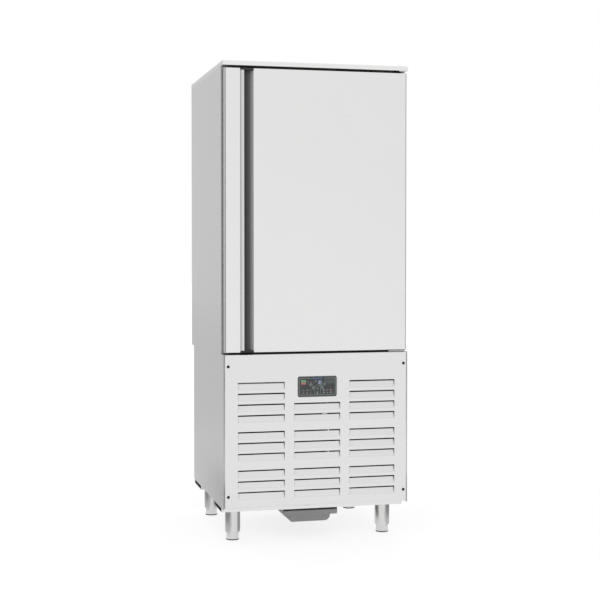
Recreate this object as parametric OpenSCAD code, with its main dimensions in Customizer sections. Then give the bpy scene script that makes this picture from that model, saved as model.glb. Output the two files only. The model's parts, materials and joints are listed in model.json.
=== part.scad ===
// Upright blast chiller: an insulated cell with one full-width door over a louvred machine
// compartment, on four round legs. X runs to the right, the front faces -Y and Z is up. The origin
// is on the floor, under the middle of the cabinet.

/* [Cabinet] */
// Outside width of the cabinet
body_w = 774; // [740:1:820]
// Depth of the insulated cell, front frame to back panel
cell_d = 753; // [720:1:800]
// Depth of the machine compartment behind the same front line
machine_d = 696; // [676:1:706]
// Height of the machine compartment
machine_h = 610; // [600:1:640]
// Height of the insulated cell
cell_h = 1172; // [1150:1:1250]
// Height of the top cover
top_h = 18; // [14:1:26]
// How far the top cover stands behind the door's face
top_set = 6; // [3:1:12]
// How far the top cover passes the back panel
top_over = 3; // [2:0.5:8]
// Thickness of the outer and inner sheets
sheet = 1; // [0.8:0.1:1.5]
// Thickness of the insulated walls
wall = 60; // [55:1:66]
// Width of the folded front edge of each side panel
side_return = 34; // [32:1:38]
// Corner radius of the cell's lining
liner_r = 12; // [8:1:20]

/* [Door] */
// Reveal between the door's edge and the cabinet's side
door_inset = 7.3; // [6:0.1:10]
// Gap between the front panel and the door
door_gap_low = 7.5; // [7:0.1:9]
// Gap between the door and the top cover
door_gap_top = 10.5; // [9:0.1:13]
// Depth of the door's outer pan
door_rim = 46; // [42:0.5:50]
// Depth of the door gasket and its magnet strip
gasket_d = 8; // [7.8:0.1:10]
// Width of the door gasket
gasket_w = 20; // [16:1:22]
// Depth of the plug that enters the cell
plug_d = 30; // [24:1:34]
// Clearance between the plug and the cell's lining
plug_gap = 12; // [10:1:18]
// Radius of the door's front edges
edge_r = 5; // [3:0.5:6]
// Hinge axis, in from the door's right edge
hinge_in = 14; // [13:0.1:14.5]
// Hinge axis, behind the door's face
hinge_t = 16; // [15.5:0.1:16.5]
// Radius of the hinge pins
pin_r = 5; // [4:0.1:6]

/* [Handle] */
// Width of the flat strip left of the handle
strip_w = 61.6; // [50:0.1:70]
// Width of the handle's rounded lip
lip_w = 18; // [14:0.5:20]
// How far the lip stands proud of the door's face
lip_proud = 3; // [2:0.5:5]
// Radius of the lip's nose
nose_r = 4; // [3:0.5:6]
// Width of the recess's flat floor
floor_w = 18.2; // [16:0.2:26]
// Depth of the recess and radius of its cove
cove_r = 18; // [16:0.5:24]
// Wall of the handle profile
handle_wall = 1.5; // [1:0.1:2]
// Height of each end cap
cap_h = 9; // [6:0.5:14]

/* [Cell fittings] */
// Number of tray levels
tray_levels = 15; // [8:1:15]
// Height from one tray level to the next
tray_pitch = 65; // [50:1:66]
// Height of the first ledge above the cell's floor
first_level = 50; // [40:1:60]
// Front end of the ledges, behind the door's face
ledge_t = 84; // [82:1:100]
// Gap from the ledges' rear ends to the fan plate
ledge_gap = 25; // [15:1:60]
// Width of each ledge
ledge_w = 22; // [18:1:26]
// Thickness of each ledge
ledge_th = 3; // [2:0.5:4]
// Size of the rack's channel uprights
upright = 15; // [12:1:18]
// Air space from the fan plate to the evaporator coil
plenum = 120; // [112:1:125]
// Radius of the fan openings
fan_hole_r = 127; // [120:1:135]
// Height from one fan to the next
fan_pitch = 340; // [310:1:345]
// Length of the fan blades' tip radius
blade_r = 112; // [100:1:114]
// Radius of the fan motors' shafts
shaft_r = 4; // [3:0.5:6]
// Spacing of the coils' fins
fin_pitch = 12; // [8:0.5:15]
// Thickness of the coils' fins
fin_th = 1; // [0.6:0.1:1.5]
// Gap from the evaporator coil to the cell's back
coil_gap = 32; // [20:1:40]
// Thickness of the evaporator coil
coil_d = 90; // [70:1:96]
// Radius of the drain pipe
drain_r = 12; // [10:0.5:14]
// Drain pipe's axis, behind the door's face
drain_t = 300; // [290:1:320]

/* [Front panel] */
// Lift of the panel's lower edge over the compartment's floor
panel_lift = 6; // [4:0.5:10]
// How far the panel rises past the cell's underside
panel_over = 15; // [12:0.5:20]
// Step from the cabinet's side to the panel's edge
panel_inset = 3.3; // [2:0.1:6]
// Screw centre, in from the panel's edge
screw_in = 16; // [14:0.5:20]
// Screw centre, from the panel's upper and lower edges
screw_rise = 47.5; // [40:0.5:60]
// Radius of the screws' heads
screw_head_r = 5.75; // [4:0.25:6.5]
// Width of one louvre
louvre_w = 193; // [170:1:200]
// Height of one louvre's opening
louvre_h = 30.5; // [26:0.5:34]
// Height from one louvre to the next
louvre_pitch = 43.8; // [42:0.1:46]
// Extra height between two groups of louvres
group_gap = 23.4; // [18:0.1:26]
// Top of the first louvre, under the panel's upper edge
louvre_drop = 112.6; // [110:0.2:118]
// Inward lean of each louvre's upper edge
louvre_lean = 9; // [6:0.5:12]
// Dark slot over each louvre
louvre_slot = 5.5; // [4:0.5:8]
// Side margin of the louvre field
louvre_margin = 55; // [50:0.5:60]

/* [Display] */
// Width of the display's overlay
display_w = 162.6; // [150:0.1:170]
// Height of the display's overlay
display_h = 76; // [70:0.1:80]
// Centre of the display, under the panel's upper edge
display_drop = 135; // [130:0.5:137]
// Thickness of the overlay
overlay_th = 1.5; // [1:0.1:2]
// Depth of the controller's housing
housing_d = 40; // [30:1:60]
// Radius of the round keys
key_r = 5; // [4:0.1:5.5]
// Travel of a key
key_travel = 0.6; // [0.4:0.1:0.8]

/* [Base] */
// Height of the cross rails' undersides over the floor
leg_h = 130; // [125:1:150]
// Height of the cross rails
rail_h = 20; // [16:1:26]
// Front face of the front rail, behind the door's face
rail_t = 66; // [60:1:72]
// Width of each cross rail along the depth
rail_w = 170; // [160:1:180]
// Gap from the rear rail to the compartment's back
rail_rear_gap = 2; // [1:0.5:6]
// Wall of the cross rails
rail_wall = 2; // [1.5:0.1:3]
// Radius of the legs
leg_r = 31.5; // [30:0.5:34]
// Leg's axis, in from the cabinet's side
leg_in = 64.5; // [60:0.5:70]
// Wall of the legs
leg_wall = 1.5; // [1.2:0.1:2]
// Height of the legs' lower ends over the floor
foot_h = 34; // [28:1:40]
// Radius of the feet
foot_r = 26; // [24:0.5:28]
// Radius of the feet's threaded stems
stem_r = 8; // [6:0.5:10]
// How far a foot screws out
foot_travel = 40; // [20:1:45]

/* [Drip tray] */
// Front plate of the drip tray, behind the door's face
drip_t = 112; // [100:1:120]
// Length of the drip tray
drip_l = 488; // [420:2:520]
// Width of the tray's front plate
drip_w = 228; // [200:1:240]
// Width of the tray's basin
basin_w = 168; // [150:1:172]
// Height of the basin's underside over the floor
basin_z = 67; // [62:1:74]
// Height of the tray's flange over the floor
flange_z = 102; // [98:1:106]
// Wall of the tray
tray_wall = 2; // [1.5:0.1:3]
// Radius of the basin's round lower corner, on its right
basin_r = 24; // [12:1:28]

/* [Hidden] */
$fn = 64;
slack = 0.3;      // clearance between parts that move past each other
fit = 0.05;       // running clearance of pins and shafts
cut = 1;          // how far a cutter passes the face it opens
half_w = body_w / 2;
body_t = door_rim + gasket_d;          // the cabinet's front line
cell_back = body_t + cell_d;
machine_back = body_t + machine_d;
top_back = cell_back + top_over;
face_y = lip_proud - (lip_proud + top_back) / 2;   // Y of the door's face

base_z = leg_h + rail_h;
deck_z = base_z + machine_h;
cell_top = deck_z + cell_h;
body_h = cell_top + top_h;

in_half = half_w - wall;
in_z0 = deck_z + wall;
in_z1 = cell_top - wall;
in_back = cell_back - wall;
in_mid = (in_z0 + in_z1) / 2;
frame_th = 3;

panel_half = half_w - panel_inset;
panel_z0 = base_z + panel_lift;
panel_z1 = deck_z + panel_over;
panel_w = 2 * panel_half;
hem_r = panel_inset - slack;
hem_t = edge_r + 0.5;
return_d = 24;
post_r = 6;
screw_r = 2.5;
screw_l = 18;
screw_x = panel_half - screw_in;
screw_zs = [panel_z0 + screw_rise, panel_z1 - screw_rise];

door_half = half_w - door_inset;
door_w = 2 * door_half;
door_z0 = panel_z1 + door_gap_low;
door_z1 = cell_top - door_gap_top;
door_h = door_z1 - door_z0;
hinge_x = door_half - hinge_in;
bush_wall = 3;
bush_l = 16;
bush_flange = 1.7;
bush_r = pin_r + bush_wall;
hinge_plate = 4;
plug_half = in_half - plug_gap;
plug_r = 15;

lip_x0 = -door_half + strip_w;
lip_x1 = lip_x0 + lip_w;
floor_x1 = lip_x1 + floor_w;
handle_x1 = floor_x1 + cove_r + handle_wall;
nose_x = lip_x1 - nose_r;
undercut = 4;
lip_back = 2 * nose_r - lip_proud;
ramp_w = nose_x - lip_x0;
ramp_r = (ramp_w * ramp_w + lip_proud * lip_proud) / (2 * lip_proud);

coil_t = in_back - coil_gap - coil_d;
fan_plate_t = coil_t - plenum;
ledge_l = fan_plate_t - ledge_gap - ledge_t;
upright_x = in_half - upright;
ledge_x = upright_x - ledge_w;
upright_inset = 20;
fan_plate_th = 1.2;
plate_rim = 16;
fan_zs = [in_mid - fan_pitch, in_mid, in_mid + fan_pitch];
fan_plate_zs = [fan_zs[0] - fan_hole_r - plate_rim, fan_zs[2] + fan_hole_r + plate_rim];
wire_r = 1.5;
rotor_d = 30;
rotor_t = fan_plate_t + 6;
motor_t = rotor_t + rotor_d + 6;
motor_r = 38;
motor_l = 55;
hub_r = 30;
arm_w = 16;
arm_th = 4;
arm_back = 8;
coil_half = in_half - 57;
coil_z0 = in_z0 + 60;
coil_z1 = in_z1 - 60;

louvre_groups = [[0, 1, 2, 3], [4, 5, 6], [7, 8, 9]];
louvre_gap = (panel_w - 2 * louvre_margin - 3 * louvre_w) / 2;
display_z = panel_z1 - display_drop;
display_r = 5;
lens_in = 6;
key_spots = [[-28, 9], [-16.5, -4.5], [0, -7], [16.5, -4.5], [28, 9]];

tray_plate_z0 = flange_z - 9;
tray_plate_z1 = flange_z + 10.5;
basin_r0 = 3;
leg_x = half_w - leg_in;
rear_rail_t = machine_back - rail_rear_gap - rail_w;
leg_ts = [rail_t + rail_w / 2, rear_rail_t + rail_w / 2];
rail_half = panel_half;
floor_th = 2;
nut_z = foot_h + 31;
nut_th = 10;
foot_top = nut_z - slack;
sole_h = 2;

floor_z = base_z + floor_th;
comp_x = -200;
comp_t = machine_back - 230;
comp_r = 95;
grommet_h = 20;
comp_plate_z = floor_z + grommet_h;
comp_h = 190;
comp_plate = [260, 200];
comp_plate_th = 3;
comp_band = [98, 8];
comp_box = [50, 60];
comp_box_out = 18;
comp_box_z = 70;
grommet_spot = [112, 82];
grommet_r = 15;
grommet_neck_r = 6.8;
cond_x0 = -half_w + 27;
cond_w = 400;
cond_t = 90;
cond_d = 60;
cond_z0 = floor_z + 48;
cond_h = 420;
cond_port_t = cond_t + 16;
cond_bend_r = 20;
cond_tube_r = 5;
cond_mid_x = cond_x0 + cond_w / 2;
cond_mid_z = cond_z0 + cond_h / 2;
shroud_d = 40;
shroud_t = cond_t + cond_d + shroud_d;
cond_fan_r = 172;
cond_hub_r = 42;
cond_rotor_d = 30;
cond_motor_r = 48;
cond_motor_l = 70;
receiver_x = 150;
receiver_t = machine_back - 130;
receiver_r = 50;
receiver_h = 280;
drier_t = receiver_t - 160;
drier_r = 20;
drier_l = 90;
receiver_stub = 14;
pipe_r = 6;
stub_wall = 1.5;
stub_z = comp_h + 50;
discharge = [40, -40];
suction = [0, 40];
comp_stub_z = comp_plate_z + stub_z;
pipe_z = comp_stub_z + 65;
riser_x = 60;
riser_t = coil_t + coil_d / 2;
suction_x = -60;
gland_x = half_w - 77;
gland_z = base_z + 80;
gland_bore_r = 6;
gland_r = 12;
box_w = 180;
box_d = 120;
box_x = half_w - 37 - box_w;
box_t = 240;
box_h = 300;
box_lid_in = 6;
box_lid_d = 2;
deck_lip = 40;
grille_pitch = 20.5;
grille_lean = 12;
grille_slat = 14;
grille_margin = 137;
grille_x1 = half_w - grille_margin;

// ---- helpers: every part is drawn with Y counted back from the door's face ----

module at_face() translate([0, face_y, 0]) children();

module block(x, y, z)
    translate([x[0], y[0], z[0]]) cube([x[1] - x[0], y[1] - y[0], z[1] - z[0]]);

// A cylinder that runs back from depth t
module back_rod(x, t, z, r, l)
    translate([x, t, z]) rotate([-90, 0, 0]) cylinder(r = r, h = l);

module ring_y(x, t, z, r_out, r_in, l)
    difference() {
        back_rod(x, t, z, r_out, l);
        back_rod(x, t - cut, z, r_in, l + 2 * cut);
    }

// A rectangle with round corners, from round discs and bars
module round_rect(x, y, r) {
    translate([x[0] + r, y[0]]) square([x[1] - x[0] - 2 * r, y[1] - y[0]]);
    translate([x[0], y[0] + r]) square([x[1] - x[0], y[1] - y[0] - 2 * r]);
    for (cx = [x[0] + r, x[1] - r], cy = [y[0] + r, y[1] - r]) translate([cx, cy]) circle(r = r);
}

// A round-cornered block whose outline lies in X and Z
module round_block(x, t, z, r)
    translate([0, t[1], 0]) rotate([90, 0, 0]) linear_extrude(t[1] - t[0]) round_rect(x, z, r);

// A pan's outline in X and depth, with its front edges rounded
module pan_outline(x, depth, r, left = true, right = true) {
    translate([x[0] + (left ? r : 0), 0])
        square([x[1] - x[0] - (left ? r : 0) - (right ? r : 0), r]);
    translate([x[0], r]) square([x[1] - x[0], depth - r]);
    if (left) translate([x[0] + r, r]) circle(r = r);
    if (right) translate([x[1] - r, r]) circle(r = r);
}

// The block that a pan is cut from: its upper and lower front edges are round too
module pan_solid(x, z, depth, r, left = true, right = true) intersection() {
    translate([0, 0, z[0]]) linear_extrude(z[1] - z[0]) pan_outline(x, depth, r, left, right);
    pan_edges(x, z, depth, r);
}

module pan_edges(x, z, depth, r)
    translate([x[0] - cut, 0, 0]) rotate([0, 90, 0]) linear_extrude(x[1] - x[0] + 2 * cut)
        pan_outline([-z[1], -z[0]], depth, r);

// A tube along a list of points, with a ball fitting at each bend
module pipe(points, r) {
    for (i = [0 : len(points) - 2]) {
        run = points[i + 1] - points[i];
        translate(points[i])
            rotate([0, acos(run[2] / norm(run)), atan2(run[1], run[0])])
                cylinder(r = r, h = norm(run));
    }
    for (i = [1 : 1 : len(points) - 2]) translate(points[i]) sphere(r = r * 1.25);
}

// ---- the cabinet ----

module top_cover() color("gainsboro") at_face() difference() {
    block([-half_w, half_w], [top_set, top_back], [cell_top, body_h]);
    block([-half_w + sheet, half_w - sheet], [top_set + sheet, top_back - sheet],
        [cell_top + sheet, body_h - sheet]);
    block([-half_w + sheet, half_w - sheet], [body_t - 5, top_back - sheet],
        [cell_top - cut, cell_top + 2 * sheet]);
}

// The right side panel: a sheet with a fold behind the door, and a lower part that runs
// forward to a round hem against the front panel
module side_panel() at_face() {
    translate([half_w - sheet, 0, 0]) rotate([90, 0, 90]) linear_extrude(sheet)
        polygon([[hem_t + hem_r, base_z], [machine_back, base_z], [machine_back, deck_z],
            [cell_back, deck_z], [cell_back, cell_top], [body_t, cell_top], [body_t, panel_z1],
            [hem_t + hem_r, panel_z1]]);
    block([half_w - side_return, half_w - sheet], [body_t, body_t + sheet], [base_z, cell_top]);
    translate([0, 0, base_z]) linear_extrude(panel_z1 - base_z) intersection() {
        translate([half_w - hem_r, hem_t + hem_r]) difference() {
            circle(r = hem_r);
            circle(r = hem_r - sheet);
        }
        translate([half_w - hem_r, hem_t]) square(hem_r);
    }
}

module left_side_panel() color("silver") mirror([1, 0, 0]) side_panel();
module right_side_panel() color("silver") side_panel();

module cell_back_panel() color("silver") at_face()
    block([-half_w + sheet, half_w - sheet], [cell_back - sheet, cell_back], [deck_z, cell_top]);

module cell_deck() color("silver") at_face() difference() {
    union() {
        block([-half_w + sheet, half_w - sheet], [body_t + sheet, cell_back - sheet],
            [deck_z, deck_z + sheet]);
        block([-half_w + sheet, half_w - sheet], [body_t + sheet, body_t + 2 * sheet],
            [deck_z - deck_lip, deck_z]);
    }
    pipe_holes(deck_z);
}

// Holes through the cell's floor for the drain and the refrigerant pipes
module pipe_holes(z0) {
    translate([0, drain_t, z0 - cut]) cylinder(r = drain_r + slack, h = wall + 2 * cut);
    for (x = [riser_x, suction_x])
        translate([x, riser_t, z0 - cut]) cylinder(r = pipe_r + slack, h = wall + 2 * cut);
}

module liner_solid(grow, t)
    round_block([-in_half - grow, in_half + grow], t, [in_z0 - grow, in_z1 + grow], liner_r + grow);

module cell_insulation() color("khaki") at_face() difference() {
    union() {
        block([-half_w + sheet, half_w - sheet], [body_t + frame_th, cell_back - sheet],
            [deck_z + sheet, cell_top + sheet]);
        block([-half_w + sheet, half_w - sheet], [top_set + sheet, top_back - sheet],
            [cell_top + sheet, body_h - sheet]);
    }
    liner_solid(sheet, [body_t, in_back + sheet]);
    pipe_holes(deck_z);
}

module inner_liner() color("lightgray") at_face() difference() {
    liner_solid(sheet, [body_t + frame_th, in_back + sheet]);
    liner_solid(0, [body_t, in_back]);
    pipe_holes(deck_z);
}

module door_frame() color("dimgray") at_face() difference() {
    block([-half_w + side_return, half_w - side_return], [body_t, body_t + frame_th],
        [deck_z + sheet, cell_top]);
    liner_solid(0, [body_t - cut, body_t + frame_th + cut]);
}

// ---- inside the cell ----

module rack_uprights() color("silver") at_face()
    for (side = [-1, 1], t = [ledge_t + upright_inset, ledge_t + ledge_l - 2 * upright_inset])
        scale_side(side)
            difference() {
                block([upright_x, in_half], [t, t + upright], [in_z0 + liner_r, in_z1 - liner_r]);
                block([upright_x + 1.5, in_half + cut], [t + 1.5, t + upright - 1.5],
                    [in_z0, in_z1]);
            }

module scale_side(side) mirror([side < 0 ? 1 : 0, 0, 0]) children();

module tray_ledges() color("silver") at_face()
    for (side = [-1, 1], level = [0 : tray_levels - 1])
        scale_side(side)
            block([ledge_x, upright_x], [ledge_t, ledge_t + ledge_l],
                [in_z0 + first_level + level * tray_pitch - ledge_th,
                    in_z0 + first_level + level * tray_pitch]);

// A pack of upright fins between two plates
module fin_pack(x, y, z) difference() {
    block(x, y, z);
    for (i = [0 : floor((x[1] - x[0] - fin_th) / fin_pitch) - 1])
        block([x[0] + i * fin_pitch + fin_th, x[0] + (i + 1) * fin_pitch],
            [y[0] - cut, y[1] + cut], [z[0] + 3, z[1] - 3]);
}

module evaporator_coil() color("lightsteelblue") at_face() {
    fin_pack([-coil_half, coil_half], [coil_t, coil_t + coil_d], [coil_z0, coil_z1]);
    for (side = [-1, 1]) scale_side(side) {
        block([coil_half, coil_half + 2], [coil_t, in_back], [coil_z0 - 20, coil_z1 + 20]);
        for (i = [0 : 5])
            translate([coil_half + 2, coil_t + coil_d / 2, coil_z0 + 60 + i * (coil_z1 - coil_z0) / 7])
                u_bend(25, 5);
    }
}

// A half ring of pipe that stands out along +X, its ends one over the other
module u_bend(bend_r, r) rotate([90, 0, 0]) rotate([0, 0, -90])
    rotate_extrude(angle = 180) translate([bend_r, 0]) circle(r = r);

module fan_plate() color("silver") at_face() difference() {
    union() {
        round_block([-in_half, in_half], [fan_plate_t, fan_plate_t + fan_plate_th], fan_plate_zs,
            liner_r);
        for (side = [-1, 1]) scale_side(side)
            block([in_half - fan_plate_th, in_half], [fan_plate_t, fan_plate_t + upright],
                [fan_plate_zs[0] + liner_r, fan_plate_zs[1] - liner_r]);
    }
    for (z = fan_zs) back_rod(0, fan_plate_t - cut, z, fan_hole_r, fan_plate_th + 2 * cut);
}

module evaporator_fan_guards() color("gainsboro") at_face()
    for (z = fan_zs) {
        for (r = [34, 66, 98, fan_hole_r + 4])
            ring_y(0, fan_plate_t - 2 * wire_r, z, r + wire_r, r - wire_r, 2 * wire_r);
        for (a = [45 : 90 : 315]) translate([0, fan_plate_t, z]) rotate([0, a, 0])
            block([34, fan_hole_r + 4], [-1.5 * wire_r, -0.5 * wire_r], [-wire_r, wire_r]);
    }

// A motor with its shaft towards the front and three arms to the plate in front of it
module fan_motor(r, l, arm, plate_t, t, shaft_t) {
    back_rod(0, t, 0, r, l);
    back_rod(0, shaft_t, 0, shaft_r, t - shaft_t);
    for (a = [30, 150, 270]) rotate([0, a, 0]) {
        block([r - 3, arm], [t + arm_back, t + arm_back + arm_th], [-arm_w / 2, arm_w / 2]);
        block([arm - arm_th, arm], [plate_t, t + arm_back + arm_th], [-arm_w / 2, arm_w / 2]);
    }
}

module evaporator_fan_motors() color("dimgray") at_face()
    for (z = fan_zs) translate([0, 0, z])
        fan_motor(motor_r, motor_l, fan_hole_r + plate_rim - 2, fan_plate_t + fan_plate_th, motor_t,
            rotor_t - 2);

// A hub with five pitched blades that turns on the motor's shaft
module rotor(r, tip_r, depth, t) difference() {
    union() {
        back_rod(0, t, 0, r, depth);
        for (a = [0 : 72 : 288]) rotate([0, a, 0]) translate([r - 4, t + depth / 2, 0])
            rotate([30, 0, 0]) block([0, tip_r - r], [-1, 1], [-depth * 0.8, depth * 0.8]);
    }
    back_rod(0, t - cut, 0, shaft_r + fit, depth + 2 * cut);
}

module cell_fan(z) color("darkslategray") at_face() translate([0, 0, z])
    rotor(hub_r, blade_r, rotor_d, rotor_t);

module probe_holder() color("dimgray") at_face()
    translate([in_half, drain_t, in_z0 + first_level + 10.5 * tray_pitch]) rotate([0, -90, 0])
        difference() {
            cylinder(r = 9, h = upright - 2);
            translate([0, 0, 4]) cylinder(r = 3, h = upright);
        }

module drain_pipe() color("silver") at_face() translate([0, drain_t, 0]) difference() {
    union() {
        translate([0, 0, flange_z + 9]) cylinder(r = drain_r, h = in_z0 - flange_z - 8);
        translate([0, 0, in_z0]) cylinder(r = drain_r + 8, h = 1.5);
    }
    translate([0, 0, flange_z]) cylinder(r = drain_r - 1.5, h = in_z0);
}

// ---- the door ----

// The pocket behind the handle's lip, in X and depth
module handle_pocket() difference() {
    union() {
        translate([lip_x0 + undercut, lip_back]) square([floor_x1 - lip_x0 - undercut, cove_r - lip_back]);
        translate([nose_x, 0]) square([floor_x1 - nose_x, cove_r]);
        intersection() {
            translate([floor_x1, 0]) circle(r = cove_r);
            translate([floor_x1, 0]) square([cove_r, cove_r]);
        }
    }
    handle_lip();
}

// The convex lip: a round nose, and a wide arc that rises to it from the flat strip
module handle_lip() {
    translate([nose_x, nose_r - lip_proud]) circle(r = nose_r);
    intersection() {
        translate([nose_x, ramp_r - lip_proud]) circle(r = ramp_r);
        translate([lip_x0, -lip_proud]) square([ramp_w, lip_back + lip_proud]);
    }
}

module handle_outer() {
    translate([lip_x0, 0]) square([floor_x1 - lip_x0, cove_r + handle_wall]);
    intersection() {
        translate([floor_x1, 0]) circle(r = cove_r + handle_wall);
        translate([floor_x1, 0]) square([cove_r + handle_wall, cove_r + handle_wall]);
    }
}

module door_handle() color("silver") at_face()
    translate([0, 0, door_z0 + cap_h]) linear_extrude(door_h - 2 * cap_h) {
        difference() {
            handle_outer();
            handle_pocket();
        }
        handle_lip();
    }

// Caps in the handle's ends, each with a lid over the foam behind the handle
module handle_end_caps() color("dimgray") at_face() {
    intersection() {
        for (z = [door_z0, door_z1 - cap_h])
            translate([0, 0, z]) linear_extrude(cap_h) handle_outer();
        pan_edges([lip_x0, handle_x1], [door_z0, door_z1], door_rim, edge_r);
    }
    for (z = [door_z0, door_z1 - sheet])
        block([lip_x0, handle_x1], [edge_r, door_rim], [z, z + sheet]);
}

// One part of the door's outer pan: a face with a rounded outer edge and folded returns
module door_pan(x, left) difference() {
    pan_solid(x, [door_z0, door_z1], door_rim, edge_r, left, !left);
    translate([0, sheet, 0])
        pan_solid([x[0] + (left ? sheet : -cut), x[1] - (left ? -cut : sheet)],
            [door_z0 + sheet, door_z1 - sheet], door_rim, edge_r - sheet, left, !left);
}

module door_skin() color("gainsboro") at_face() difference() {
    door_pan([handle_x1, door_half], false);
    translate([hinge_x, hinge_t, door_z0 - cut]) cylinder(r = bush_r + fit, h = door_h + 2 * cut);
}

module door_edge_strip() color("gainsboro") at_face() door_pan([-door_half, lip_x0], true);

module plug_solid(grow, t)
    round_block([-plug_half - grow, plug_half + grow], t,
        [in_z0 + plug_gap - grow, in_z1 - plug_gap + grow], plug_r + grow);

module door_inner_pan() color("lightgray") at_face() difference() {
    union() {
        block([-door_half + sheet, door_half - sheet], [door_rim - sheet, door_rim],
            [door_z0 + sheet, door_z1 - sheet]);
        plug_solid(0, [door_rim - sheet, door_rim + plug_d]);
    }
    plug_solid(-sheet, [0, door_rim + plug_d - sheet]);
}

module door_foam() color("khaki") at_face() difference() {
    union() {
        translate([0, sheet, 0]) pan_solid([-door_half + sheet, door_half - sheet],
            [door_z0 + sheet, door_z1 - sheet], door_rim - 2 * sheet, edge_r - sheet);
        plug_solid(-sheet, [edge_r, door_rim + plug_d - sheet]);
    }
    translate([0, 0, door_z0]) linear_extrude(door_h) handle_outer();
    for (z = [door_z0, door_z1 - bush_l])
        translate([hinge_x, hinge_t, z]) cylinder(r = bush_r, h = bush_l);
}

module door_gasket() color("darkgray") at_face() difference() {
    liner_solid(2 + gasket_w, [door_rim, body_t - slack]);
    liner_solid(2, [0, body_t + cut]);
}

// A blind bush with a flange on the door's end face, its mouth at the bottom
module hinge_bush() difference() {
    union() {
        translate([0, 0, -bush_flange]) cylinder(r = bush_r + 3, h = bush_flange);
        cylinder(r = bush_r, h = bush_l);
    }
    translate([0, 0, -bush_flange - cut]) cylinder(r = pin_r + fit, h = bush_l + bush_flange);
}

module hinge_bushes() color("white") at_face() translate([hinge_x, hinge_t, 0]) {
    translate([0, 0, door_z0]) hinge_bush();
    translate([0, 0, door_z1]) mirror([0, 0, 1]) hinge_bush();
}

module top_hinge_bracket() color("silver") at_face() {
    block([hinge_x - 15.7, hinge_x + 6.3], [top_set, body_t - 4],
        [cell_top - hinge_plate, cell_top]);
    translate([hinge_x, hinge_t, door_z1 - bush_l + 3])
        cylinder(r = pin_r, h = cell_top - hinge_plate - door_z1 + bush_l - 3);
}

module bottom_hinge_bracket() color("silver") at_face() {
    plate_z1 = door_z0 - bush_flange - slack;
    block([hinge_x - 62, hinge_x + 8.6], [3, body_t], [plate_z1 - hinge_plate, plate_z1]);
    block([hinge_x - 62, hinge_x + 8.6], [body_t - hinge_plate, body_t],
        [screw_zs[1] + post_r + 3, plate_z1 - hinge_plate]);
    translate([hinge_x, hinge_t, plate_z1])
        cylinder(r = pin_r, h = door_z0 + bush_l - 3 - plate_z1);
}

// ---- the machine compartment ----

module base_tray() color("silver") at_face() difference() {
    block([-half_w + sheet, half_w - sheet], [body_t + sheet, machine_back - sheet],
        [base_z, floor_z]);
    translate([0, drain_t, base_z - cut]) cylinder(r = drain_r + slack, h = floor_th + 2 * cut);
}

module cross_rail(t) difference() {
    block([-rail_half, rail_half], [t, t + rail_w], [leg_h, base_z]);
    block([-rail_half - cut, rail_half + cut], [t + rail_wall, t + rail_w - rail_wall],
        [leg_h + rail_wall, base_z - rail_wall]);
    if (drain_t < t + rail_w && drain_t > t)
        translate([0, drain_t, leg_h - cut]) cylinder(r = drain_r + slack, h = rail_h + 2 * cut);
}

module cross_rails() color("silver") at_face() for (t = [rail_t, rear_rail_t]) cross_rail(t);

// Upper edge of louvre number i, counted down from the panel's top
function louvre_top(i) = panel_z1 - louvre_drop - i * louvre_pitch
    - (i > 3 ? group_gap : 0) - (i > 6 ? group_gap : 0);
function louvre_left(column) = -panel_half + louvre_margin + column * (louvre_w + louvre_gap);

module front_panel() color("gainsboro") at_face() {
    difference() {
        pan_solid([-panel_half, panel_half], [panel_z0, panel_z1], body_t, edge_r);
        translate([0, sheet, 0]) pan_solid([-panel_half + sheet, panel_half - sheet],
            [panel_z0 + sheet, panel_z1 - sheet], body_t, edge_r - sheet);
        block([-panel_half + sheet, panel_half - sheet], [return_d, body_t + cut],
            [panel_z0 - cut, panel_z1 + cut]);
        louvre_field() louvre_opening();
        for (side = [-1, 1], z = screw_zs) back_rod(side * screw_x, -cut, z, screw_r + 0.2, 3);
        display_window();
    }
    louvre_field() louvre_flap();
}

// Places one louvre at each spot of the field; the middle column leaves room for the display
module louvre_field()
    for (column = [0 : 2], i = [column == 1 ? 2 : 0 : 9])
        translate([louvre_left(column), 0, louvre_top(i) - louvre_h]) children();

module louvre_opening() block([0, louvre_w], [-cut, sheet + cut], [0, louvre_h]);

module louvre_flap() translate([0, 0.3 * sheet, 0]) rotate([-atan(louvre_lean / louvre_h), 0, 0])
    block([slack, louvre_w - slack], [0, sheet], [-0.8 * sheet, louvre_h - louvre_slot]);

// Threaded posts welded to the side panels, which the front panel's screws enter
module fixing_posts() color("silver") at_face()
    for (side = [-1, 1], z = screw_zs)
        ring_y(side * screw_x, sheet, z, post_r, screw_r, body_t - sheet);

module display_window()
    block([-display_w / 2 + lens_in, display_w / 2 - lens_in], [-cut, sheet + cut],
        [display_z - display_h / 2 + lens_in, display_z + display_h / 2 - lens_in]);

module panel_screws() color("black") at_face()
    for (side = [-1, 1], z = screw_zs) difference() {
        union() {
            back_rod(side * screw_x, 0, z, screw_r - fit, screw_l);
            back_rod(side * screw_x, -1, z, screw_head_r, 1);
            translate([side * screw_x, -1, z]) rotate([90, 0, 0])
                cylinder(r1 = screw_head_r, r2 = screw_head_r * 0.6, h = 1.3);
        }
        back_rod(side * screw_x, -3, z, 1.6, 2.6, $fn = 6);
    }

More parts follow.
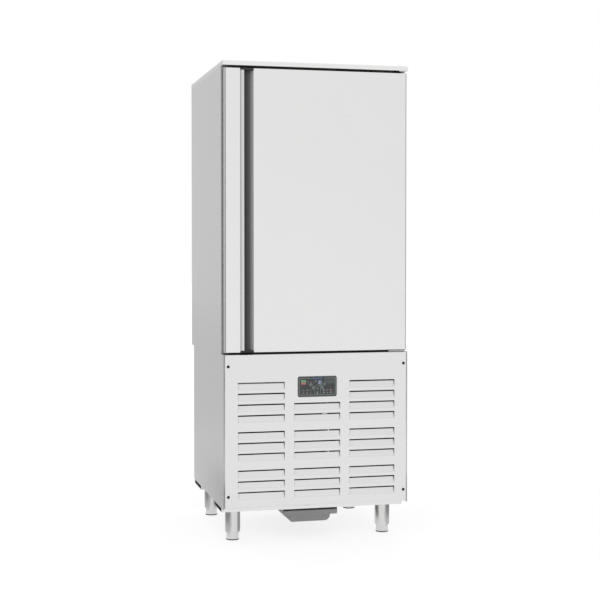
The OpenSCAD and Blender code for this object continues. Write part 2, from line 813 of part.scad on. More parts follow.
module rear_grille() color("silver") at_face() {
    slats = floor((deck_z - base_z - 25) / grille_pitch);
    difference() {
        block([-half_w + sheet, half_w - sheet], [machine_back - sheet, machine_back],
            [floor_z, deck_z]);
        for (i = [0 : slats - 1]) translate([0, machine_back, grille_z(i)])
            block([-half_w + 8, grille_x1], [-sheet - cut, cut], [-grille_slat, 0]);
        back_rod(gland_x, machine_back - 2 * sheet, gland_z, gland_r + 0.1, 3 * sheet);
    }
    for (i = [0 : slats - 1])
        translate([0, machine_back - sheet, grille_z(i)])
            rotate([atan(grille_lean / grille_slat), 0, 0])
                block([-half_w + 8 + slack, grille_x1 - slack], [0, sheet],
                    [-norm([grille_lean, grille_slat]), 0.6 * sheet]);
}

function grille_z(i) = deck_z - 10 - i * grille_pitch;

module compressor() color("black") at_face() translate([comp_x, comp_t, comp_plate_z]) {
    difference() {
        block([-comp_plate[0] / 2, comp_plate[0] / 2], [-comp_plate[1] / 2, comp_plate[1] / 2],
            [0, comp_plate_th]);
        grommet_spots() translate([0, 0, -cut])
            cylinder(r = grommet_neck_r + 0.2, h = comp_plate_th + 2 * cut);
    }
    translate([0, 0, comp_plate_th]) cylinder(r = comp_r, h = comp_h);
    translate([0, 0, comp_h / 2]) cylinder(r = comp_band[0], h = comp_band[1]);
    intersection() {
        translate([0, 0, comp_h + comp_plate_th - comp_r * 0.8]) sphere(r = comp_r * 1.28);
        translate([0, 0, comp_h + comp_plate_th]) cylinder(r = comp_r, h = comp_r);
    }
    // terminal box
    block([-comp_box[0] / 2, comp_box[0] / 2], [-comp_r - comp_box_out, -comp_r + 10],
        [comp_box_z, comp_box_z + comp_box[1]]);
    for (spot = [discharge, suction]) translate([spot[0], spot[1], comp_h])
        cylinder(r = pipe_r + stub_wall, h = stub_z - comp_h);
}

module grommet_spots()
    for (x = [-1, 1], y = [-1, 1])
        translate([x * grommet_spot[0], y * grommet_spot[1], 0]) children();

module compressor_grommets() color("dimgray") at_face() translate([comp_x, comp_t, floor_z])
    grommet_spots() {
        cylinder(r = grommet_r, h = grommet_h);
        translate([0, 0, grommet_h]) cylinder(r = grommet_neck_r, h = comp_plate_th);
        translate([0, 0, grommet_h + comp_plate_th]) cylinder(r = grommet_r - 2, h = 4);
    }

module condenser_coil() color("lightsteelblue") at_face() {
    fin_pack([cond_x0 + 2, cond_x0 + cond_w - 2], [cond_t, cond_t + cond_d],
        [cond_z0, cond_z0 + cond_h]);
    for (x = [cond_x0, cond_x0 + cond_w - 2])
        block([x, x + 2], [cond_t, cond_t + cond_d], [floor_z, cond_z0 + cond_h]);
    for (i = [0 : 4])
        translate([cond_x0 + cond_w, cond_t + cond_d / 2, cond_z0 + 40 + i * 80])
            u_bend(cond_bend_r, cond_tube_r);
}

module fan_shroud() color("dimgray") at_face() difference() {
    block([cond_x0, cond_x0 + cond_w], [cond_t + cond_d, shroud_t], [cond_z0, cond_z0 + cond_h]);
    block([cond_x0 + 2, cond_x0 + cond_w - 2], [cond_t, shroud_t - 2],
        [cond_z0 + 2, cond_z0 + cond_h - 2]);
    back_rod(cond_mid_x, shroud_t - 4, cond_mid_z, cond_fan_r + 8, 8);
}

module condenser_fan() color("darkslategray") at_face() translate([cond_mid_x, 0, cond_mid_z])
    rotor(cond_hub_r, cond_fan_r - 6, cond_rotor_d, shroud_t - cond_rotor_d - 2);

module condenser_fan_motor() color("dimgray") at_face() translate([cond_mid_x, 0, cond_mid_z])
    fan_motor(cond_motor_r, cond_motor_l, cond_fan_r + 18, shroud_t, shroud_t + 12,
        shroud_t - cond_rotor_d - 4);

// A bottle on a foot ring, hollow from below, with a stub on its side and one on its dome
module liquid_receiver() color("black") at_face() translate([receiver_x, receiver_t, floor_z])
    difference() {
        union() {
            cylinder(r = receiver_r + 8, h = 4);
            cylinder(r = receiver_r, h = receiver_h);
            translate([0, 0, receiver_h]) intersection() {
                translate([0, 0, -receiver_r * 0.8]) sphere(r = receiver_r * 1.28);
                cylinder(r = receiver_r, h = receiver_r);
            }
            translate([0, 0, receiver_h])
                cylinder(r = pipe_r + stub_wall, h = receiver_r * 0.5 + receiver_stub);
            translate([-receiver_r - receiver_stub, 0, cond_z0 + 12 - floor_z]) rotate([0, 90, 0])
                cylinder(r = pipe_r + stub_wall, h = receiver_stub + 10);
        }
        translate([0, 0, -cut]) cylinder(r = receiver_r - 3, h = receiver_h + cut - 3);
    }

module refrigerant_pipes() color("peru") at_face() {
    cond_x1 = cond_x0 + cond_w;
    liquid_x = cond_x1 + 25;
    discharge_x = cond_x1 + cond_bend_r + cond_tube_r + pipe_r + 5;
    liquid_z = pipe_z + 40;
    // discharge, from the compressor to the condenser's top
    pipe([[comp_x + discharge[0], comp_t + discharge[1], comp_stub_z],
        [comp_x + discharge[0], comp_t + discharge[1], pipe_z],
        [discharge_x, comp_t + discharge[1], pipe_z], [discharge_x, cond_port_t, pipe_z],
        [discharge_x, cond_port_t, cond_z0 + cond_h - 20],
        [cond_x1, cond_port_t, cond_z0 + cond_h - 20]], pipe_r);
    // liquid, from the condenser's foot to the receiver
    pipe([[cond_x1, cond_port_t, cond_z0 + 12], [liquid_x, cond_port_t, cond_z0 + 12],
        [liquid_x, receiver_t, cond_z0 + 12],
        [receiver_x - receiver_r - receiver_stub, receiver_t, cond_z0 + 12]], pipe_r);
    // liquid, from the receiver to the drier
    pipe([[receiver_x, receiver_t, floor_z + receiver_h + receiver_r * 0.5 + receiver_stub],
        [receiver_x, receiver_t, liquid_z], [receiver_x, drier_t + 40 + drier_l, liquid_z]], pipe_r);
    // liquid, from the drier up into the evaporator
    pipe([[receiver_x, drier_t + 40, liquid_z], [receiver_x, drier_t, liquid_z],
        [riser_x, drier_t, liquid_z], [riser_x, riser_t, liquid_z], [riser_x, riser_t, coil_z0]],
        pipe_r);
    // suction, from the evaporator back to the compressor
    pipe([[suction_x, riser_t, coil_z0], [suction_x, riser_t, pipe_z - 30],
        [comp_x + suction[0], riser_t, pipe_z - 30],
        [comp_x + suction[0], comp_t + suction[1], pipe_z - 30],
        [comp_x + suction[0], comp_t + suction[1], comp_stub_z]], pipe_r);
}

module filter_drier() color("peru") at_face()
    translate([receiver_x, drier_t + 40, pipe_z + 40]) rotate([-90, 0, 0]) {
        cylinder(r = pipe_r + stub_wall, h = drier_l);
        translate([0, 0, 10]) cylinder(r = drier_r, h = drier_l - 20);
    }

module electrical_box() color("gray") at_face() difference() {
    block([box_x, box_x + box_w], [box_t, box_t + box_d], [floor_z, floor_z + box_h]);
    block([box_x + box_lid_in, box_x + box_w - box_lid_in], [box_t - cut, box_t + box_lid_d],
        [floor_z + box_lid_in, floor_z + box_h - box_lid_in]);
}

module power_gland() color("dimgray") at_face() difference() {
    union() {
        back_rod(gland_x, machine_back - 14, gland_z, gland_r, 34);
        back_rod(gland_x, machine_back, gland_z, gland_r + 5, 6, $fn = 6);
        back_rod(gland_x, machine_back - sheet - 5, gland_z, gland_r + 5, 5, $fn = 6);
        back_rod(gland_x, machine_back + 10, gland_z, gland_r + 3, 10, $fn = 6);
    }
    back_rod(gland_x, machine_back - 20, gland_z, gland_bore_r, 60);
}

// ---- the display ----

module key_at(spot) translate([spot[0], 0, display_z + spot[1]]) children();

module display_overlay() color("black") at_face() difference() {
    round_block([-display_w / 2, display_w / 2], [-overlay_th, 0],
        [display_z - display_h / 2, display_z + display_h / 2], display_r);
    for (spot = key_spots) key_at(spot) back_rod(0, -overlay_th - cut, 0, key_r + slack, 4);
}

module display_housing() color("dimgray") at_face() difference() {
    union() {
        block([-display_w / 2 + lens_in + slack, display_w / 2 - lens_in - slack], [0, housing_d],
            [display_z - display_h / 2 + lens_in + slack, display_z + display_h / 2 - lens_in - slack]);
        block([-display_w / 2, display_w / 2], [sheet, sheet + 2],
            [display_z - display_h / 2 + 2, display_z + display_h / 2 - 2]);
    }
    for (spot = key_spots) key_at(spot) back_rod(0, -cut, 0, key_r + 1.6, cut + 3.5 + key_travel);
}

// A round key: a cap in the overlay's hole and a shoulder in the housing's pocket
module key(i) color("darkslategray") at_face() key_at(key_spots[i]) {
    back_rod(0, -overlay_th - key_travel, 0, key_r, overlay_th + key_travel + slack);
    back_rod(0, slack, 0, key_r + 1.2, 2);
}

// ---- legs and drip tray ----

module leg_tubes() color("silver") at_face()
    for (side = [-1, 1], t = leg_ts) translate([side * leg_x, t, 0]) {
        difference() {
            translate([0, 0, foot_h]) cylinder(r = leg_r, h = leg_h - foot_h);
            translate([0, 0, foot_h - cut]) cylinder(r = leg_r - leg_wall, h = leg_h - foot_h - 3 + cut);
        }
        translate([0, 0, nut_z]) difference() {
            cylinder(r = leg_r - leg_wall / 2, h = nut_th);
            translate([0, 0, -cut]) cylinder(r = stem_r + fit, h = nut_th + 2 * cut);
        }
    }

// A levelling foot: a round body that runs inside the leg, a threaded stem and a flat sole
module foot(side, t) color("silver") at_face() translate([side * leg_x, t, 0]) {
    cylinder(r = foot_r - 1.5, h = sole_h);
    translate([0, 0, sole_h]) cylinder(r = foot_r, h = foot_top - sole_h);
    cylinder(r = stem_r, h = nut_z + nut_th + foot_travel + 4);
}

// The tray's cross-section: a basin with one large round corner, on the right, and one small one
module basin_outline(grow) {
    x0 = -basin_w / 2 - grow;
    x1 = basin_w / 2 + grow;
    z0 = basin_z - grow;
    r0 = basin_r0 + grow;
    r1 = basin_r + grow;
    translate([x0 + r0, z0]) square([x1 - x0 - r0 - r1, r1]);
    translate([x0, z0 + r0]) square([r0, r1 - r0]);
    translate([x0, z0 + r1]) square([x1 - x0, tray_plate_z1 - z0 - r1]);
    translate([x0 + r0, z0 + r0]) circle(r = r0);
    translate([x1 - r1, z0 + r1]) circle(r = r1);
}

module drip_tray() color("gray") at_face() {
    difference() {
        union() {
            // basin
            tray_slice(drip_t, drip_l) intersection() {
                basin_outline(0);
                translate([-drip_w, 0]) square([2 * drip_w, flange_z + tray_wall]);
            }
            // flanges on the runners
            block([-drip_w / 2 + 4, drip_w / 2 - 4], [drip_t + tray_wall, drip_t + drip_l],
                [flange_z, flange_z + tray_wall]);
            // front plate
            block([-drip_w / 2, drip_w / 2], [drip_t, drip_t + tray_wall],
                [tray_plate_z0, tray_plate_z1]);
        }
        tray_slice(drip_t + tray_wall, drip_l - 2 * tray_wall) basin_outline(-tray_wall);
    }
}

module tray_slice(t, l) translate([0, t + l, 0]) rotate([90, 0, 0]) linear_extrude(l) children();

module tray_runners() color("silver") at_face() for (side = [-1, 1]) scale_side(side) {
    x1 = drip_w / 2 + 2;
    block([x1 - tray_wall, x1], [drip_t + 4, machine_back - 40], [flange_z - slack - 2, leg_h]);
    block([basin_w / 2 + 6, x1], [drip_t + 4, machine_back - 40],
        [flange_z - slack - 2, flange_z - slack]);
}

top_cover();
left_side_panel();
right_side_panel();
cell_back_panel();
cell_deck();
cell_insulation();
inner_liner();
door_frame();
rack_uprights();
tray_ledges();
evaporator_coil();
fan_plate();
evaporator_fan_guards();
evaporator_fan_motors();
cell_fan(fan_zs[2]);  // upper_fan
cell_fan(fan_zs[1]);  // middle_fan
cell_fan(fan_zs[0]);  // lower_fan
probe_holder();
drain_pipe();
door_skin();
door_edge_strip();
door_handle();
handle_end_caps();
door_inner_pan();
door_foam();
door_gasket();
hinge_bushes();
top_hinge_bracket();
bottom_hinge_bracket();
base_tray();
cross_rails();
front_panel();
fixing_posts();
panel_screws();
rear_grille();
compressor();
compressor_grommets();
condenser_coil();
fan_shroud();
condenser_fan();
condenser_fan_motor();
liquid_receiver();
filter_drier();
refrigerant_pipes();
electrical_box();
power_gland();
display_housing();
display_overlay();
key(0);  // left_outer_key
key(1);  // left_inner_key
key(2);  // centre_key
key(3);  // right_inner_key
key(4);  // right_outer_key
leg_tubes();
foot(-1, leg_ts[0]);  // front_left_foot
foot(1, leg_ts[0]);  // front_right_foot
foot(-1, leg_ts[1]);  // rear_left_foot
foot(1, leg_ts[1]);  // rear_right_foot
drip_tray();
tray_runners();
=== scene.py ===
import json
import math

import bmesh
import bpy
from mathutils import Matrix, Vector


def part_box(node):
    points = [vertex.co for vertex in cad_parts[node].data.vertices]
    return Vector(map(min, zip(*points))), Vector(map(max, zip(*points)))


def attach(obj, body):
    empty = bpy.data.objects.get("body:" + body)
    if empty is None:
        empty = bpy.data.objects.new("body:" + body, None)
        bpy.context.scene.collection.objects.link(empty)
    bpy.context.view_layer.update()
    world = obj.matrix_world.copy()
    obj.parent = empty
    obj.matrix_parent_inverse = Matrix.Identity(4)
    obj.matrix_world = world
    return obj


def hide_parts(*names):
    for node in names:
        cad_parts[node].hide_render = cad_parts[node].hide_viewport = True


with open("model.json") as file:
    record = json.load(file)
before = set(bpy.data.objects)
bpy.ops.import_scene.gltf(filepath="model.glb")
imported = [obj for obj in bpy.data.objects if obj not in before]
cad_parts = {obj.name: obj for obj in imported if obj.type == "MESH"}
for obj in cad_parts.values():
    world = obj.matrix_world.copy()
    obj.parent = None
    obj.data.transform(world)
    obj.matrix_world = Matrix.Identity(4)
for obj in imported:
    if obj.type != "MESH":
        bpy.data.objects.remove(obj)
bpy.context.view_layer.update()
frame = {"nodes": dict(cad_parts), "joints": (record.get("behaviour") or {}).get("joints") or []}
NODES = frame["nodes"]
SCENE = bpy.context.scene

# The middle of each fan, by the name of its turning body
SPIN = {j["child"]: Vector(j["pos_m"]) for j in frame["joints"] if j.get("continuous")}
CELL_FANS = ("upper_fan", "middle_fan", "lower_fan")
FEET = ("front_left_foot", "front_right_foot", "rear_left_foot", "rear_right_foot")

FACE = -0.4035          # Y of the door's face
DOOR_HALF = 0.3797      # half of the door's width
LIP_X0 = -DOOR_HALF + 0.0616    # left edge of the handle's lip
LIP_W = 0.018           # width of the lip
POCKET_W = 0.0377       # width of the handle's pocket, right of its lip
STUDIO = 0.75           # strength of the white studio as a light; the camera sees it at 1
WHITE = (1, 1, 1, 1)

# The display's centre. Its shapes are given in millimetres from there, X right and Z up.
DISPLAY = Vector((0.0, FACE - 0.0015, 0.640))
KEY_SPOTS = {
    "left_outer_key": (-28, 9),
    "left_inner_key": (-16.5, -4.5),
    "centre_key": (0, -7),
    "right_inner_key": (16.5, -4.5),
    "right_outer_key": (28, 9),
}


# ---------------------------------------------------------------- node helpers

def node(tree, kind, **sockets):
    """Adds a node; each keyword is an input's value, or else one of the node's settings."""
    n = tree.nodes.new(kind)
    for key, value in sockets.items():
        if key in n.inputs:
            n.inputs[key].default_value = value
        else:
            setattr(n, key, value)
    return n


def math_node(tree, operation, a, b, clamp=False):
    n = tree.nodes.new("ShaderNodeMath")
    n.operation = operation
    n.use_clamp = clamp
    for socket, value in zip(n.inputs, (a, b)):
        if isinstance(value, (int, float)):
            socket.default_value = value
        else:
            tree.links.new(value, socket)
    return n.outputs[0]


def vector_math(tree, operation, vector, other, socket):
    n = tree.nodes.new("ShaderNodeVectorMath")
    n.operation = operation
    tree.links.new(vector, n.inputs[0])
    tree.links.new(other, n.inputs[socket])
    return n.outputs["Vector"]


def noise(tree, vector, **sockets):
    n = node(tree, "ShaderNodeTexNoise", **sockets)
    tree.links.new(vector, n.inputs["Vector"])
    return n.outputs["Fac"]


def map_range(tree, value, to_min, to_max, from_min=0.0, from_max=1.0):
    n = tree.nodes.new("ShaderNodeMapRange")
    limits = {"From Min": from_min, "From Max": from_max, "To Min": to_min, "To Max": to_max}
    for key, limit in limits.items():
        n.inputs[key].default_value = limit
    tree.links.new(value, n.inputs["Value"])
    return n.outputs["Result"]


def color_ramp(tree, factor, stops):
    """A ramp through (position, colour) stops."""
    n = tree.nodes.new("ShaderNodeValToRGB")
    for _ in stops[2:]:
        n.color_ramp.elements.new(0.5)
    for element, (position, color) in zip(n.color_ramp.elements, stops):
        element.position = position
        element.color = (*color, 1)
    tree.links.new(factor, n.inputs["Fac"])
    return n.outputs["Color"]


def mix_shaders(tree, factor, first, second):
    n = tree.nodes.new("ShaderNodeMixShader")
    for socket, source in zip(n.inputs, (factor, first.outputs[0], second.outputs[0])):
        tree.links.new(source, socket)
    return n


def empty_tree(owner):
    """Clears the node tree of a material or a world."""
    owner.use_nodes = True
    owner.node_tree.nodes.clear()
    return owner.node_tree


# ---------------------------------------------------------------- camera and light

def make_camera():
    """The photograph's view, from a perspective fit of the cabinet's corners."""
    data = bpy.data.cameras.new("camera")
    cam = bpy.data.objects.new("camera", data)
    SCENE.collection.objects.link(cam)
    yaw = math.radians(13.726)
    pitch = math.radians(1.3915)
    level = math.cos(pitch)
    forward = Vector((math.sin(yaw) * level, math.cos(yaw) * level, -math.sin(pitch)))
    cam.location = (-1.3051, FACE - 5.04708, 1.19699)
    cam.rotation_mode = "QUATERNION"
    cam.rotation_quaternion = forward.to_track_quat("-Z", "Y")
    data.sensor_width = 36.0
    data.lens = 77.078
    data.shift_y = -0.0323
    data.clip_start = 0.1
    data.clip_end = 200
    SCENE.camera = cam


def backdrop_rays(tree):
    """1 for the rays that see the white backdrop: from the camera, reflected and through glass."""
    path = tree.nodes.new("ShaderNodeLightPath")
    rays = math_node(tree, "ADD", path.outputs["Is Camera Ray"], path.outputs["Is Glossy Ray"], True)
    return math_node(tree, "ADD", rays, path.outputs["Is Transmission Ray"], True)


def make_world():
    """A plain white studio, which the camera and all reflections see at full strength."""
    world = bpy.data.worlds.new("studio")
    SCENE.world = world
    t = empty_tree(world)
    soft = node(t, "ShaderNodeBackground", Color=WHITE, Strength=STUDIO)
    white = node(t, "ShaderNodeBackground", Color=WHITE, Strength=1.0)
    out = t.nodes.new("ShaderNodeOutputWorld")
    t.links.new(mix_shaders(t, backdrop_rays(t), soft, white).outputs[0], out.inputs[0])


def make_floor():
    """A white floor that takes the object's shadow. Its top lies just under the feet."""
    bm = bmesh.new()
    bmesh.ops.create_grid(bm, x_segments=1, y_segments=1, size=40)
    me = bpy.data.meshes.new("floor")
    bm.to_mesh(me)
    bm.free()
    o = bpy.data.objects.new("floor", me)
    o.location = (0, 0, -0.0004)
    SCENE.collection.objects.link(o)
    mat = bpy.data.materials.new("floor_white")
    t = empty_tree(mat)
    # what the camera and reflections see is mostly glow, so that the shadow stays soft
    diffuse = node(t, "ShaderNodeBsdfDiffuse", Color=(0.36, 0.36, 0.36, 1))
    glow = node(t, "ShaderNodeEmission", Color=WHITE, Strength=0.79)
    seen = t.nodes.new("ShaderNodeAddShader")
    t.links.new(diffuse.outputs[0], seen.inputs[0])
    t.links.new(glow.outputs[0], seen.inputs[1])
    # all other rays meet a plain light grey
    plain = node(t, "ShaderNodeBsdfDiffuse", Color=(0.70, 0.70, 0.70, 1))
    out = t.nodes.new("ShaderNodeOutputMaterial")
    t.links.new(mix_shaders(t, backdrop_rays(t), plain, seen).outputs[0], out.inputs[0])
    me.materials.append(mat)


def make_lamp(name, location, target, size, power):
    data = bpy.data.lights.new(name, "AREA")
    data.shape = "RECTANGLE"
    data.size, data.size_y = size
    data.energy = power
    o = bpy.data.objects.new(name, data)
    SCENE.collection.objects.link(o)
    o.location = location
    o.rotation_mode = "QUATERNION"
    o.rotation_quaternion = (Vector(target) - Vector(location)).to_track_quat("-Z", "Y")
    o.visible_glossy = False


def make_screen(name, centre, size, turn, grey, low=False, tilt=0):
    """A grey studio screen that the camera never sees; it gives the steel its darker tones.

    size is its width and height, turn its angle round the vertical, 0 across the view, and tilt 90
    lays it down. A low one stands or lies near the floor and shows in reflections alone."""
    w, h = size[0] / 2, size[1] / 2
    bm = bmesh.new()
    bm.faces.new([bm.verts.new(c) for c in ((-w, 0, -h), (w, 0, -h), (w, 0, h), (-w, 0, h))])
    me = bpy.data.meshes.new(name)
    bm.to_mesh(me)
    bm.free()
    mat = bpy.data.materials.new(name)
    t = empty_tree(mat)
    glow = node(t, "ShaderNodeEmission", Color=WHITE, Strength=grey)
    out = t.nodes.new("ShaderNodeOutputMaterial")
    t.links.new(glow.outputs[0], out.inputs[0])
    me.materials.append(mat)
    o = bpy.data.objects.new(name, me)
    SCENE.collection.objects.link(o)
    o.location = centre
    o.rotation_euler = (math.radians(tilt), 0, math.radians(turn))
    o.visible_camera = False
    if low:
        o.visible_diffuse = False
        o.visible_shadow = False


def make_screens():
    """Pairs of screens beside and behind the cabinet, and low ones for its legs."""
    for side, name in ((-1, "left"), (1, "right")):
        back_turn = side * -34
        make_screen("side_screen_" + name, (side * 3.0, -1.4, 2.0), (5.6, 4.2), 90, 0.30)
        make_screen("back_screen_" + name, (side * 1.75, 2.6, 2.0), (3.4, 4.2), back_turn, 0.70)
        make_screen("low_screen_" + name, (side * 0.66, -0.1, 0.1), (1.2, 0.2), 90, 0.30, low=True)
        make_screen("rear_screen_" + name, (side * 1.6, 2.3, 0.4), (3.2, 0.8), back_turn, 0.625, low=True)
        make_screen("floor_card_" + name, (side * 1.55, 1.0, 0.002), (2.2, 3.4), 0, 0.67, low=True, tilt=90)
    make_screen("low_screen_middle", (0, -0.1, 0.03), (0.6, 0.058), 90, 0.20, low=True)
    make_screen("low_screen_inner", (-0.2, -0.06, 0.08), (0.52, 0.14), 90, 0.38, low=True)


# ---------------------------------------------------------------- materials

STEEL = (0.78, 0.78, 0.777)
SIDE_GRAIN = (1800, 14, 1800)      # strokes run front to back
FACE_GRAIN = (14, 1800, 1800)      # strokes run across the front
TALL_GRAIN = (1800, 1800, 14)      # strokes run upwards
LEG_GRAIN = (900, 900, 60)
FIN_GRAIN = (60, 60, 900)
FINE = 0.00001                     # depth in metres of strokes that hardly show

# rough is the roughness and its spread, mottle the share by which the colour clouds and its scale, and the
# crevice reach how far painted shade darkens folds and gaps
LOOKS = {
    "steel_face": dict(color=STEEL, rough=(0.26, 0.03), mottle=(0.012, 1.6), metallic=1.0,
                       grain=FACE_GRAIN, grain_depth=FINE, painted_shade_reach=0.006),
    "steel_panel": dict(color=(0.75, 0.75, 0.748), rough=(0.26, 0.03), mottle=(0.012, 1.6), metallic=1.0,
                        grain=FACE_GRAIN, grain_depth=FINE, painted_shade_reach=0.009),
    "steel_side": dict(color=STEEL, rough=(0.36, 0.03), mottle=(0.012, 1.4), metallic=1.0,
                       grain=SIDE_GRAIN, grain_depth=FINE, painted_shade_reach=0.08),
    "steel_cover": dict(color=(0.83, 0.83, 0.827), rough=(0.30, 0.03), mottle=(0.012, 1.4), metallic=1.0,
                        grain=SIDE_GRAIN, grain_depth=FINE, painted_shade_reach=0.006),
    "steel_liner": dict(color=(0.74, 0.74, 0.74), rough=(0.33, 0.05), mottle=(0.02, 2.0), metallic=1.0,
                        grain=TALL_GRAIN, grain_depth=0.00003),
    "steel_leg": dict(color=(0.68, 0.68, 0.675), rough=(0.20, 0.04), mottle=(0.02, 9.0), metallic=1.0,
                      grain=LEG_GRAIN, grain_depth=FINE),
    "handle_profile": dict(color=STEEL, rough=(0.24, 0.05), mottle=(0.012, 2.0), metallic=1.0,
                           grain=TALL_GRAIN, grain_depth=0.00002, painted_shade_reach=0.01),
    "galvanised": dict(color=(0.60, 0.61, 0.62), rough=(0.45, 0.10), mottle=(0.10, 55.0), metallic=1.0,
                       painted_shade_reach=0.10),
    "copper": dict(color=(0.42, 0.21, 0.12), rough=(0.40, 0.10), mottle=(0.22, 26.0), metallic=1.0,
                   painted_shade_reach=0.12),
    "wire": dict(color=(0.72, 0.72, 0.73), rough=(0.22, 0.06), mottle=(0.04, 80.0), metallic=1.0),
    "fins": dict(color=(0.72, 0.75, 0.78), rough=(0.38, 0.06), mottle=(0.04, 20.0), metallic=1.0,
                 grain=FIN_GRAIN),
    "dark_fins": dict(color=(0.045, 0.046, 0.048), rough=(0.45, 0.06), mottle=(0.06, 20.0),
                      grain=FIN_GRAIN),
    "screw": dict(color=(0.012, 0.012, 0.012), rough=(0.42, 0.08), mottle=(0.10, 200.0), metallic=0.6),
    "motor": dict(color=(0.035, 0.035, 0.038), rough=(0.42, 0.08), mottle=(0.08, 30.0), coat=0.2),
    "black_paint": dict(color=(0.016, 0.016, 0.017), rough=(0.28, 0.06), mottle=(0.10, 14.0), coat=0.4),
    "foam": dict(color=(0.78, 0.66, 0.40), rough=(0.9, 0.05), mottle=(0.12, 40.0), dents=0.001),
    "dark_plastic": dict(color=(0.028, 0.028, 0.030), rough=(0.5, 0.05), mottle=(0.06, 30.0),
                         dents=0.00008, dent_scale=900),
    "grey_plastic": dict(color=(0.47, 0.47, 0.47), rough=(0.45, 0.06), mottle=(0.04, 12.0),
                         dents=0.0001, dent_scale=700),
    "white_plastic": dict(color=(0.80, 0.80, 0.77), rough=(0.4, 0.05), mottle=(0.03, 30.0)),
    "blade": dict(color=(0.055, 0.056, 0.06), rough=(0.4, 0.06), mottle=(0.08, 25.0)),
    "gasket": dict(color=(0.20, 0.205, 0.21), rough=(0.6, 0.06), mottle=(0.06, 25.0),
                   dents=0.0001, dent_scale=500),
    "rubber": dict(color=(0.02, 0.02, 0.02), rough=(0.75, 0.05), mottle=(0.10, 60.0),
                   dents=0.0002, dent_scale=400),
    "foot_pad": dict(color=(0.075, 0.075, 0.078), rough=(0.5, 0.05), mottle=(0.06, 60.0), dents=0.0001),
    "key": dict(color=(0.10, 0.11, 0.115), rough=(0.35, 0.04), mottle=(0.04, 300.0)),
    "frame_grey": dict(color=(0.075, 0.078, 0.076), rough=(0.32, 0.05), mottle=(0.05, 60.0), coat=0.2),
    "screen_black": dict(color=(0.022, 0.026, 0.026), rough=(0.16, 0.03), mottle=(0.04, 40.0), coat=0.5),
}
INKS = {
    "ink_line": (0.36, 0.40, 0.385),
    "ink_light": (0.55, 0.60, 0.58),
    "ink_dim": (0.20, 0.22, 0.22),
    "ink_blue": (0.035, 0.06, 0.13),
    "ink_green": (0.25, 0.58, 0.30),
    "ink_red": (0.62, 0.26, 0.24),
    "ink_teal": (0.30, 0.46, 0.42),
    "digit_blue": (0.52, 0.59, 0.86),
    "ink_bar": (0.24, 0.34, 0.44),
    "ink_wine": (0.11, 0.035, 0.05),
}
DIGIT_GLOW = 0.3                   # strength of the light that the digits give off

PAINT = {
    "steel_side": ["left_side_panel", "right_side_panel", "cell_back_panel"],
    "steel_cover": ["top_cover"],
    "steel_face": ["door_skin", "door_edge_strip", "cross_rails"],
    "steel_panel": ["front_panel"],
    "steel_liner": ["inner_liner", "rack_uprights", "tray_ledges", "fan_plate", "door_inner_pan"],
    "steel_leg": ["leg_tubes", *FEET],
    "handle_profile": ["door_handle"],
    "galvanised": ["cell_deck", "base_tray", "rear_grille", "fixing_posts", "fan_shroud",
                   "top_hinge_bracket", "bottom_hinge_bracket", "drain_pipe"],
    "foam": ["cell_insulation", "door_foam"],
    "dark_plastic": ["door_frame", "probe_holder", "handle_end_caps", "power_gland", "display_housing"],
    "grey_plastic": ["electrical_box", "drip_tray", "tray_runners"],
    "white_plastic": ["hinge_bushes"],
    "gasket": ["door_gasket"],
    "rubber": ["compressor_grommets"],
    "fins": ["evaporator_coil"],
    "dark_fins": ["condenser_coil"],
    "motor": ["evaporator_fan_motors", "condenser_fan_motor"],
    "black_paint": ["compressor", "liquid_receiver"],
    "blade": [*CELL_FANS, "condenser_fan"],
    "wire": ["evaporator_fan_guards"],
    "copper": ["filter_drier", "refrigerant_pipes"],
    "screw": ["panel_screws"],
    "frame_grey": ["display_overlay"],
    "key": list(KEY_SPOTS),
}

# Nodes whose sharp edges get a narrow bevel, and nodes whose edges get a wide one
NARROW_BEVEL = ("top_cover", "left_side_panel", "right_side_panel", "door_skin", "door_edge_strip",
                "front_panel", "cross_rails", "cell_back_panel", "fan_plate", "rack_uprights",
                "tray_ledges", "bottom_hinge_bracket", "top_hinge_bracket", "power_gland",
                "door_frame", "handle_end_caps")
WIDE_BEVEL = ("drip_tray", "compressor", "liquid_receiver", "filter_drier", "electrical_box",
              "display_overlay", *FEET, "leg_tubes", "panel_screws")

M = {}


